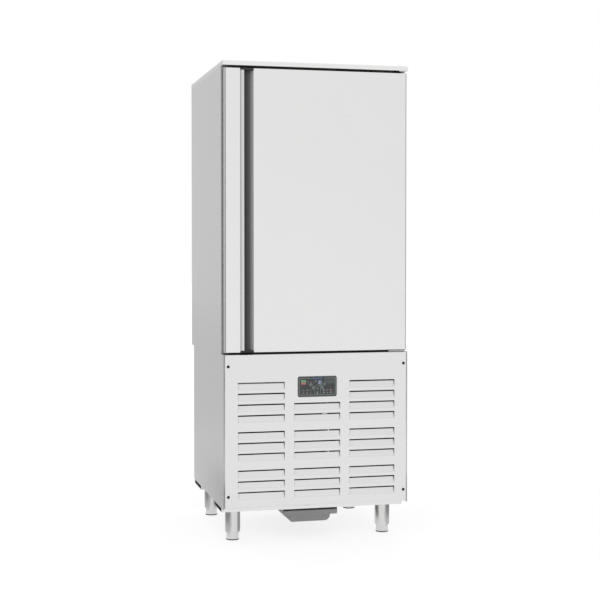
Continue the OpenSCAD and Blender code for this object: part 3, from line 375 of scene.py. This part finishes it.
def material(name, color, rough, mottle, metallic=0.0, grain=None, grain_depth=0.0, dents=0.0,
             dent_scale=60.0, coat=0.0, painted_shade_reach=0.0):
    """A procedural material.

    grain is the scale of the brushed strokes per metre along X, Y and Z, dents the depth of small
    bumps in metres, and the crevice reach how far in metres painted shade, by occlusion, darkens the colour
    in folds and gaps."""
    mat = bpy.data.materials.new(name)
    mat.use_nodes = True
    mat.diffuse_color = (*color, 1)
    t = mat.node_tree
    bsdf = t.nodes["Principled BSDF"]
    plain = {"Metallic": metallic, "IOR": 1.5, "Coat Weight": coat, "Coat Roughness": 0.08}
    for key, value in plain.items():
        bsdf.inputs[key].default_value = value
    share, scale = mottle
    smooth, dull = rough[0] - rough[1], rough[0] + rough[1]
    place = t.nodes.new("ShaderNodeTexCoord").outputs["Object"]
    cloud = noise(t, place, Scale=scale, Detail=4.0, Roughness=0.6)
    dark = [c * (1 - share) for c in color]
    light = [min(1.0, c * (1 + share * 0.6)) for c in color]
    tone = color_ramp(t, cloud, ((0.3, dark), (0.7, light)))
    if grain:
        mapping = node(t, "ShaderNodeMapping", Scale=grain)
        t.links.new(place, mapping.inputs["Vector"])
        strokes = noise(t, mapping.outputs["Vector"], Scale=1.0, Detail=3.0, Roughness=0.65)
        roughness = map_range(t, strokes, smooth, dull, 0.25, 0.75)
        tint = map_range(t, strokes, 0.988, 1.008, 0.2, 0.8)
        tone = vector_math(t, "SCALE", tone, tint, "Scale")
    else:
        roughness = map_range(t, cloud, smooth, dull)
    t.links.new(roughness, bsdf.inputs["Roughness"])
    if painted_shade_reach:
        # painted shade: the base colour is darkened by occlusion in folds and gaps
        shade = node(t, "ShaderNodeAmbientOcclusion", samples=8, Distance=painted_shade_reach)
        t.links.new(tone, shade.inputs["Color"])
        tone = shade.outputs["Color"]
    t.links.new(tone, bsdf.inputs["Base Color"])
    if dents:
        add_bump(t, bsdf, noise(t, place, Scale=dent_scale, Detail=2.0), dents)
    elif grain_depth:
        add_bump(t, bsdf, strokes, grain_depth)
    return mat


def add_bump(tree, bsdf, height, depth):
    bump = node(tree, "ShaderNodeBump", Strength=0.6, Distance=depth)
    tree.links.new(height, bump.inputs["Height"])
    tree.links.new(bump.outputs["Normal"], bsdf.inputs["Normal"])


def make_materials():
    for name, look in LOOKS.items():
        M[name] = material(name, **look)
    for name, color in INKS.items():
        M[name] = material(name, color, rough=(0.3, 0.04), mottle=(0.05, 200.0))
    digits = M["digit_blue"].node_tree.nodes["Principled BSDF"]
    digits.inputs["Emission Color"].default_value = (*INKS["digit_blue"], 1)
    digits.inputs["Emission Strength"].default_value = DIGIT_GLOW
    finish_handle(M["handle_profile"])


def finish_handle(mat):
    """Gives one profile two finishes: bright steel on the lip, and a dark satin pocket behind it.

    Greys change across each as painted shade and light: the lip darkens towards its left edge, and the
    pocket's own dark grey brightens towards the cove on its right. This adds to the shading that the round
    lip and the cove have."""
    lip_painted_shade = ((0.0, 0.46), (0.2, 0.60), (0.45, 0.80), (0.75, 0.90))
    pocket_grey_and_painted_light = ((0.3, 0.10), (0.62, 0.16), (0.8, 0.46), (1.0, 1.0))
    pocket_y = FACE + 0.0015
    # the pocket's darkest grey starts 1.2 mm before the lip's right edge: painted shade on the lip's rolled
    # edge
    pocket_x = LIP_X0 + LIP_W - 0.0012
    t = mat.node_tree
    bsdf = t.nodes["Principled BSDF"]
    split = t.nodes.new("ShaderNodeSeparateXYZ")
    t.links.new(t.nodes.new("ShaderNodeTexCoord").outputs["Object"], split.inputs[0])
    deep = math_node(t, "GREATER_THAN", split.outputs["Y"], pocket_y)
    right = math_node(t, "GREATER_THAN", split.outputs["X"], pocket_x)
    pocket = math_node(t, "MAXIMUM", deep, right)

    def across(x0, width, greys):
        """A painted grey of shade and light that changes from x0 over the width."""
        place = map_range(t, split.outputs["X"], 0.0, 1.0, x0, x0 + width)
        return color_ramp(t, place, [(position, (grey, grey, grey)) for position, grey in greys])

    steel = bsdf.inputs["Base Color"].links[0].from_socket
    # painted shade on the lip: its steel colour is darkened towards the left edge
    lip = vector_math(t, "MULTIPLY", steel, across(LIP_X0, LIP_W, lip_painted_shade), 1)
    mix = node(t, "ShaderNodeMix", data_type="RGBA")
    t.links.new(pocket, mix.inputs["Factor"])
    t.links.new(lip, mix.inputs["A"])
    # the pocket: its own dark grey, with painted light rising towards the cove
    t.links.new(across(LIP_X0 + LIP_W, POCKET_W, pocket_grey_and_painted_light), mix.inputs["B"])
    t.links.new(mix.outputs["Result"], bsdf.inputs["Base Color"])
    duller = math_node(t, "MULTIPLY", pocket, 0.4)
    t.links.new(math_node(t, "SUBTRACT", 0.5, duller), bsdf.inputs["Specular IOR Level"])
    t.links.new(math_node(t, "SUBTRACT", 1.0, pocket), bsdf.inputs["Metallic"])


def paint():
    for name, nodes in PAINT.items():
        for n in nodes:
            materials = NODES[n].data.materials
            materials.clear()
            materials.append(M[name])


def soften(name, width, segments):
    """Rounds a node's sharp edges a little, so that they catch the light."""
    o = NODES[name]
    for p in o.data.polygons:
        p.use_smooth = True
    flat = o.modifiers.new("flat", "DECIMATE")
    flat.decimate_type = "DISSOLVE"
    flat.angle_limit = math.radians(0.6)
    bevel = o.modifiers.new("bevel", "BEVEL")
    bevel.width = width
    bevel.segments = segments
    bevel.limit_method = "ANGLE"
    bevel.angle_limit = math.radians(35)
    bevel.harden_normals = True


# ---------------------------------------------------------------- small mesh makers

def mesh_object(name, bm, mats, body, smooth=False):
    bmesh.ops.recalc_face_normals(bm, faces=bm.faces)
    me = bpy.data.meshes.new(name)
    bm.to_mesh(me)
    bm.free()
    for m in mats:
        me.materials.append(m)
    if smooth:
        for p in me.polygons:
            p.use_smooth = True
    o = bpy.data.objects.new(name, me)
    SCENE.collection.objects.link(o)
    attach(o, body)
    return o


def bridge(bm, first, second):
    """Faces between two rings of vertices."""
    n = len(first)
    for i in range(n):
        j = (i + 1) % n
        bm.faces.new((first[i], first[j], second[j], second[i]))


def bridge_round(bm, rings):
    """Faces from each ring to the next, and from the last one back to the first."""
    for first, second in zip(rings, rings[1:] + rings[:1]):
        bridge(bm, first, second)


def circle(n):
    """The cosine and sine of n angles round a full turn."""
    return [(math.cos(2 * math.pi * i / n), math.sin(2 * math.pi * i / n)) for i in range(n)]


def corner_arcs(x0, x1, z0, z1, r, n):
    """The centre and angle of each point on a rectangle's four round corners, in turn."""
    corners = ((x1 - r, z1 - r, 0), (x0 + r, z1 - r, 90), (x0 + r, z0 + r, 180), (x1 - r, z0 + r, 270))
    return [(cx, cz, math.radians(a + 90 * i / n)) for cx, cz, a in corners for i in range(n + 1)]


def prism(bm, outline, depth, lift, index):
    """A thin raised shape on the display, from its outline in millimetres."""
    y = DISPLAY.y - lift
    front = [bm.verts.new((DISPLAY.x + x / 1000, y - depth, DISPLAY.z + z / 1000)) for x, z in outline]
    back = [bm.verts.new((v.co.x, y, v.co.z)) for v in front]
    faces = [bm.faces.new(front), bm.faces.new(list(reversed(back)))]
    n = len(front)
    for i in range(n):
        j = (i + 1) % n
        faces.append(bm.faces.new((front[i], back[i], back[j], front[j])))
    for f in faces:
        f.material_index = index


def rect(x0, x1, z0, z1):
    return [(x0, z0), (x1, z0), (x1, z1), (x0, z1)]


def disc(cx, cz, r, n):
    return [(cx + r * c, cz + r * s) for c, s in circle(n)]


def rounded(x0, x1, z0, z1, r):
    return [(cx + r * math.cos(t), cz + r * math.sin(t)) for cx, cz, t in corner_arcs(x0, x1, z0, z1, r, 6)]


def band(cx, cz, radii, angles, n=28):
    """The pieces of a curved band between two radii; a full ring when the angles span 360 degrees."""
    first, last = angles
    pieces = []
    for i in range(n):
        a, b = (math.radians(first + (last - first) * k / n) for k in (i, i + 1))
        spots = ((radii[0], a), (radii[1], a), (radii[1], b), (radii[0], b))
        pieces.append([(cx + r * math.cos(t), cz + r * math.sin(t)) for r, t in spots])
    return pieces


# ---------------------------------------------------------------- display

INK_T = 0.00008         # thickness of a printed shape
INK_LIFT = 0.00002      # gap between the overlay and the lowest one
PRINT_INKS = ["screen_black", *INKS]
FIELD_X = 74.0          # half of the black field's width and height, in millimetres
FIELD_Z = 31.0
FIELD_COLUMNS = 46
KEY_HOLE_R = 5.5        # radius that the field leaves free round each key
DIGIT_Z = 8.4           # height of the digits' lower edge
DIGIT_STRETCH = 0.93    # their height against that of the bars below
# The seven bars of a digit: left, right, lower and upper edge
DIGIT_BARS = {"a": (0.8, 7.2, 14.8, 16.4), "b": (6.8, 8.4, 8.6, 15.6), "c": (6.8, 8.4, 0.8, 7.6),
              "d": (0.8, 7.2, 0, 1.6), "e": (-0.4, 1.2, 0.8, 7.6), "f": (-0.4, 1.2, 8.6, 15.6),
              "g": (0.8, 7.2, 7.4, 9.0)}
# Small symbols in a row: centre, width and ink; None is the row's own ink
LEFT_SYMBOLS = ((-66, 2.2, "ink_dim"), (-58.5, 3.6, "ink_line"), (-49, 2.6, "ink_dim"),
                (-42, 4.2, "ink_line"), (-28, 5.0, "ink_dim"))
RIGHT_SYMBOLS = ((26.5, 4.4, "ink_light"), (36.5, 3.0, "ink_dim"), (43.0, 4.0, "ink_line"),
                 (56.0, 6.6, None), (66.5, 3.4, "ink_dim"))
# The rows' heights and their own inks
SYMBOL_ROWS = ((-15.0, "ink_red"), (-25.5, "ink_teal"))


def column_spans(a, b):
    """The heights of the field's column from a to b that no key's hole takes."""
    spans = [(-FIELD_Z, FIELD_Z)]
    for kx, kz in KEY_SPOTS.values():
        near = 0 if a <= kx <= b else min(abs(a - kx), abs(b - kx))
        if near < KEY_HOLE_R:
            h = math.sqrt(KEY_HOLE_R ** 2 - near ** 2)
            parts = [s for lo, hi in spans for s in ((lo, min(hi, kz - h)), (max(lo, kz + h), hi))]
            spans = [(lo, hi) for lo, hi in parts if hi - lo > 0.2]
    return spans


def print_field(put):
    """The black field, laid in columns so that it leaves the keys' holes free."""
    step = 2 * FIELD_X / FIELD_COLUMNS
    for i in range(FIELD_COLUMNS):
        a, b = -FIELD_X + i * step, -FIELD_X + (i + 1) * step
        for lo, hi in column_spans(a, b):
            put([rect(a, b, lo, hi)], "screen_black", 0)


def print_border(put):
    """The thin light line round the field."""
    x, z = FIELD_X, 32.2
    put([rect(-x, x, 32.6, 34.4), rect(-x, x, -34.4, -32.6)], "ink_line")
    put([rect(-76.4, -74.4, -z, z), rect(74.4, 76.4, -z, z)], "ink_line")
    for cx, cz, a in ((x, z, 0), (-x, z, 90), (-x, -z, 180), (x, -z, 270)):
        put(band(cx, cz, (0.4, 2.3), (a, a + 90), 5), "ink_line")


def print_bars(put):
    """The blue bar at the top with plain ticks, and the lamp at the upper left."""
    put([rect(-30, 30, 29.0, 37.4)], "ink_blue", 2)
    put([rect(-25.5 + 7 * k, -20.5 + 7 * k, 31.4, 35.0) for k in range(7)], "ink_bar", 3)
    put([rounded(-68, -48, 18.2, 27.0, 1.0)], "ink_green")
    put([rounded(-68, -48, 9.0, 17.6, 1.0)], "ink_red")
    put([rect(-70, -42, 2.6, 6.2)], "ink_wine")


def print_upper_symbols(put):
    """Small symbols between the lamp and the digits."""
    put(band(-39.5, 19.5, (2.4, 4.2), (0, 360)), "ink_dim")
    put(band(-26.5, 20.5, (1.6, 3.2), (200, 340)), "ink_red")
    put([rounded(-17.5, -10.5, 14.0, 17.2, 1.2)], "ink_dim")
    put(band(-5.5, 22.5, (1.0, 2.2), (0, 360)), "digit_blue")


def print_digits(put):
    """A plain 18 in seven-segment digits."""
    for x, bars in ((-2.5, "bc"), (8.5, "abcdefg")):
        for a, b, c, d in (DIGIT_BARS[bar] for bar in bars):
            z0, z1 = DIGIT_Z + c * DIGIT_STRETCH, DIGIT_Z + d * DIGIT_STRETCH
            put([rect(x + a, x + b, z0, z1)], "digit_blue", 2)


def print_boxes(put):
    """Three boxes at the upper right, each round a dot."""
    for cx in (35.5, 50.0, 65.0):
        left, right = cx - 5.6, cx + 5.6
        put([rect(left, right, 26.0, 26.8), rect(left, right, 12.4, 13.2),
             rect(left, left + 0.8, 13.2, 26.0), rect(right - 0.8, right, 13.2, 26.0)], "ink_teal")
        put([disc(cx, 19.6, 2.6, 20)], "ink_dim")


def print_key_rings(put):
    """A light arc at the right inner key, rings round all keys, and an arch round the centre one."""
    put(band(*KEY_SPOTS["right_inner_key"], (6.6, 8.4), (-60, 130)), "ink_teal")
    rings = ("ink_light", "ink_light", "ink_dim", "ink_teal", "ink_teal")
    for (kx, kz), ink in zip(KEY_SPOTS.values(), rings):
        put(band(kx, kz, (5.7, 6.6), (0, 360)), ink)
    put(band(0, -7.5, (12.4, 13.6), (8, 172)), "ink_teal")
    for s in (-1, 1):
        put([rect(s * 13 - 0.6, s * 13 + 0.6, -29.5, -6.0)], "ink_teal")


def print_lower_symbols(put):
    """The crossed symbol under the arch, and rows of small symbols at the lower left and right."""
    for s, level in ((-1, 3), (1, 2)):
        bar = [(s * -3.6, -29.2), (s * -1.8, -29.2), (s * 3.6, -21.2), (s * 1.8, -21.2)]
        put([bar[::s]], "ink_light", level)
    put([rect(-4.2, 4.2, -30.2, -29.2)], "ink_light")
    for z, row_ink in SYMBOL_ROWS:
        for symbols, half, step in ((LEFT_SYMBOLS, 3.0, 0.7), (RIGHT_SYMBOLS, 2.8, 0.6)):
            for k, (cx, w, ink) in enumerate(symbols):
                z0, z1 = z - half + 0.5 * (k % 2), z + half - step * (k % 3)
                put([rounded(cx - w / 2, cx + w / 2, z0, z1, 0.6)], ink or row_ink)


def make_display():
    """The overlay's printed face: a framed black field with lamps, digits and symbols, all generic."""
    bm = bmesh.new()

    def put(outlines, ink, level=1):
        for outline in outlines:
            prism(bm, outline, INK_T, INK_LIFT + level * INK_T, PRINT_INKS.index(ink))

    for part in (print_field, print_border, print_bars, print_upper_symbols, print_digits, print_boxes,
                 print_key_rings, print_lower_symbols):
        part(put)
    mesh_object("display_print", bm, [M[n] for n in PRINT_INKS], "cabinet")


def make_display_seal():
    """A thin seal, which shows above and below the overlay."""
    half_w, half_h, hidden = 80.8, 41.6, 30.0
    depth, lift = 0.0009, -0.0014      # it lies behind the overlay's face
    bm = bmesh.new()
    for s in (-1, 1):
        outer = [(x, z) for x, z in rounded(-half_w, half_w, -half_h, half_h, 6.0) if z * s > hidden]
        prism(bm, outer + [(-s * half_w, s * hidden), (s * half_w, s * hidden)], depth, lift, 0)
    mesh_object("display_seal", bm, [M["frame_grey"]], "cabinet")


def make_key_marks():
    """A raised symbol on each key: an arrow on the centre one, and a ring with a dot on the others."""
    lift = 0.00062                     # just in front of the keys' faces
    inks = ["ink_light", "ink_line", "ink_teal"]
    for name, (kx, kz) in KEY_SPOTS.items():
        bm = bmesh.new()
        if name == "centre_key":
            arrow = ((-3, -2), (0, 1.6), (3, -2), (1.6, -2), (0, -0.2), (-1.6, -2))
            prism(bm, [(kx + x, kz + z) for x, z in arrow], INK_T, lift, 0)
        else:
            for piece in band(kx, kz, (1.5, 2.7), (0, 360), 20):
                prism(bm, piece, INK_T, lift, 2 if name.startswith("right") else 0)
            prism(bm, disc(kx, kz, 0.7, 14), INK_T, lift, 1)
        mesh_object(name + "_mark", bm, [M[n] for n in inks], name)


# ---------------------------------------------------------------- fans, guards, gasket, feet

WIRE_R = 0.0011
WIRE_SIDES = 8
# Radii of a guard's rings
GUARD_RINGS = (0.018, 0.034, 0.050, 0.066, 0.082, 0.098, 0.114, 0.131)
GUARD_GAP = 0.0225      # from a rotor's middle forwards to its guard's rings
SPOKE_LIFT = 0.0004     # from the rings forwards to the spokes
ROTOR_D = 0.030         # depth of every rotor
SHAFT_R = 0.004         # radius of a hub's bore
BLADES = 5
BLADE_T = 0.0022        # thickness of a blade
BLADE_STEPS = 8         # facets along and across a blade
GASKET_R = 0.034        # radius of the seal's outer corners
# The seal's section: distance inwards from its outer edge in millimetres, and share of its depth
GASKET_SECTION = ((3.0, 0), (17.0, 0), (17.0, 0.12), (15.0, 0.24), (19.2, 0.38), (15.5, 0.52),
                  (20.0, 0.66), (19.4, 0.92), (17.5, 1), (3.0, 1), (0.8, 0.92), (0.0, 0.66),
                  (4.5, 0.52), (1.0, 0.38), (5.0, 0.24), (3.0, 0.12))
# The outline of the ring at a foot's lower edge: radius and height
PAD_PROFILE = ((0.0247, 0.0), (0.0262, 0.0005), (0.0267, 0.0020), (0.0265, 0.0044), (0.02605, 0.0050),
               (0.02605, 0.0022), (0.0247, 0.0019))


def tube(bm, points, closed):
    """A round wire along a list of points."""
    n = len(points)
    rings = []
    for i, p in enumerate(points):
        a = points[i - 1] if closed or i > 0 else p
        b = points[(i + 1) % n] if closed or i < n - 1 else p
        d = (b - a).normalized()
        u = d.cross(Vector((0, 1, 0))).normalized()
        v = d.cross(u)
        rings.append([bm.verts.new(p + u * (WIRE_R * c) + v * (WIRE_R * s)) for c, s in circle(WIRE_SIDES)])
    if closed:
        bridge_round(bm, rings)
    else:
        for first, second in zip(rings, rings[1:]):
            bridge(bm, first, second)
        bm.faces.new(rings[0])
        bm.faces.new(list(reversed(rings[-1])))


def make_guards():
    """Rings of wire in front of each evaporator fan, on four spokes."""
    bm = bmesh.new()
    for fan in reversed(CELL_FANS):
        centre = SPIN[fan + "_rotor"] - Vector((0, GUARD_GAP, 0))
        for r in GUARD_RINGS:
            tube(bm, [centre + Vector((r * c, 0, r * s)) for c, s in circle(48)], True)
        spokes = centre - Vector((0, SPOKE_LIFT, 0))
        for k in range(4):
            a = math.radians(45 + 90 * k)
            d = Vector((math.cos(a), 0, math.sin(a)))
            tube(bm, [spokes + d * (GUARD_RINGS[0] - 0.001), spokes + d * GUARD_RINGS[-1]], False)
    o = mesh_object("guard_wires", bm, [M["wire"]], "cabinet", True)
    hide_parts("evaporator_fan_guards")


def blade_side(bm, centre, hub_r, tip_r, start, side):
    """One side of a blade as rows of vertices, from the hub outwards.

    start is the angle in degrees at which its middle line leaves the hub. The line is swept by up to
    14 degrees, and the blade twists and arches about it. side is -0.5 or 0.5."""
    root = hub_r * 0.96
    rows = []
    for iu in range(BLADE_STEPS + 1):
        u = iu / BLADE_STEPS
        r = root + (tip_r - root) * u
        middle = math.radians(start + 14 * u * u)
        half = math.radians(30 + 3 * u - 9 * u ** 4)
        twist = ROTOR_D * (0.44 - 0.16 * u)
        row = []
        for iv in range(BLADE_STEPS + 1):
            v = iv / BLADE_STEPS * 2 - 1
            a = middle + half * v
            y = twist * v + 0.10 * ROTOR_D * (1 - v * v) + side * BLADE_T
            row.append(bm.verts.new(centre + Vector((r * math.cos(a), y, r * math.sin(a)))))
        rows.append(row)
    return rows


def add_blade(bm, centre, hub_r, tip_r, start):
    front, back = (blade_side(bm, centre, hub_r, tip_r, start, side) for side in (-0.5, 0.5))
    for rows in (front, back):
        for a, b in zip(rows, rows[1:]):
            for k in range(BLADE_STEPS):
                bm.faces.new((a[k], a[k + 1], b[k + 1], b[k]))
    n = BLADE_STEPS
    edge = [(0, k) for k in range(n + 1)] + [(k, n) for k in range(1, n + 1)]
    edge += [(n, k) for k in range(n - 1, -1, -1)] + [(k, 0) for k in range(n - 1, 0, -1)]
    for (a, b), (p, q) in zip(edge, edge[1:] + edge[:1]):
        bm.faces.new((front[a][b], front[p][q], back[p][q], back[a][b]))


def make_rotor(name, hub_r, tip_r):
    """A moulded axial fan: a domed hub and swept, twisted blades of real thickness."""
    body = name + "_rotor"
    centre = SPIN[body]
    front, back = -ROTOR_D / 2, ROTOR_D / 2
    profile = ((SHAFT_R, front), (hub_r * 0.72, front), (hub_r * 0.92, -ROTOR_D * 0.42),
               (hub_r, -ROTOR_D * 0.28), (hub_r, back), (SHAFT_R, back))
    bm = bmesh.new()
    bridge_round(bm, [[bm.verts.new(centre + Vector((r * c, y, r * s))) for c, s in circle(40)]
                      for r, y in profile])
    for blade in range(BLADES):
        add_blade(bm, centre, hub_r, tip_r, 360 / BLADES * blade)
    o = mesh_object(name + "_moulding", bm, [M["blade"]], body, True)
    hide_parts(name)


def make_gasket():
    """A magnetic seal: two bellows folds under a flat magnet strip, round the door's back."""
    lo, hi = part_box("door_gasket")
    depth = hi.y - lo.y
    bm = bmesh.new()
    rings = []
    for cx, cz, t in corner_arcs(-hi.x, hi.x, lo.z, hi.z, GASKET_R, 8):
        ring = []
        for inset, share in GASKET_SECTION:
            r = GASKET_R - inset / 1000
            ring.append(bm.verts.new((cx + r * math.cos(t), lo.y + share * depth, cz + r * math.sin(t))))
        rings.append(ring)
    bridge_round(bm, rings)
    o = mesh_object("gasket_bellows", bm, [M["gasket"]], "door")
    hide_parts("door_gasket")


def make_foot_pads():
    """A dark ring round the lower edge of each foot."""
    for name in FEET:
        lo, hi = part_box(name)
        cx, cy = (lo.x + hi.x) / 2, (lo.y + hi.y) / 2
        bm = bmesh.new()
        bridge_round(bm, [[bm.verts.new((cx + r * c, cy + r * s, z)) for c, s in circle(40)]
                          for r, z in PAD_PROFILE])
        mesh_object(name + "_pad", bm, [M["foot_pad"]], name, True)


def main():
    make_camera()
    make_world()
    make_floor()
    make_lamp("key", (-3.2, -4.4, 4.2), (0, 0, 0.9), size=(3.2, 2.4), power=40)
    make_lamp("fill", (3.8, -3.6, 3.0), (0, 0, 1.0), size=(3.0, 3.0), power=20)
    make_screens()
    make_materials()
    paint()
    for name in NARROW_BEVEL:
        soften(name, width=0.0004, segments=2)
    for name in WIDE_BEVEL:
        soften(name, width=0.0008, segments=3)
    make_display()
    make_display_seal()
    make_key_marks()
    make_guards()
    for name in CELL_FANS:
        make_rotor(name, hub_r=0.030, tip_r=0.1095)
    make_rotor("condenser_fan", hub_r=0.042, tip_r=0.158)
    make_gasket()
    make_foot_pads()


main()
SCENE.view_settings.view_transform = "Standard"
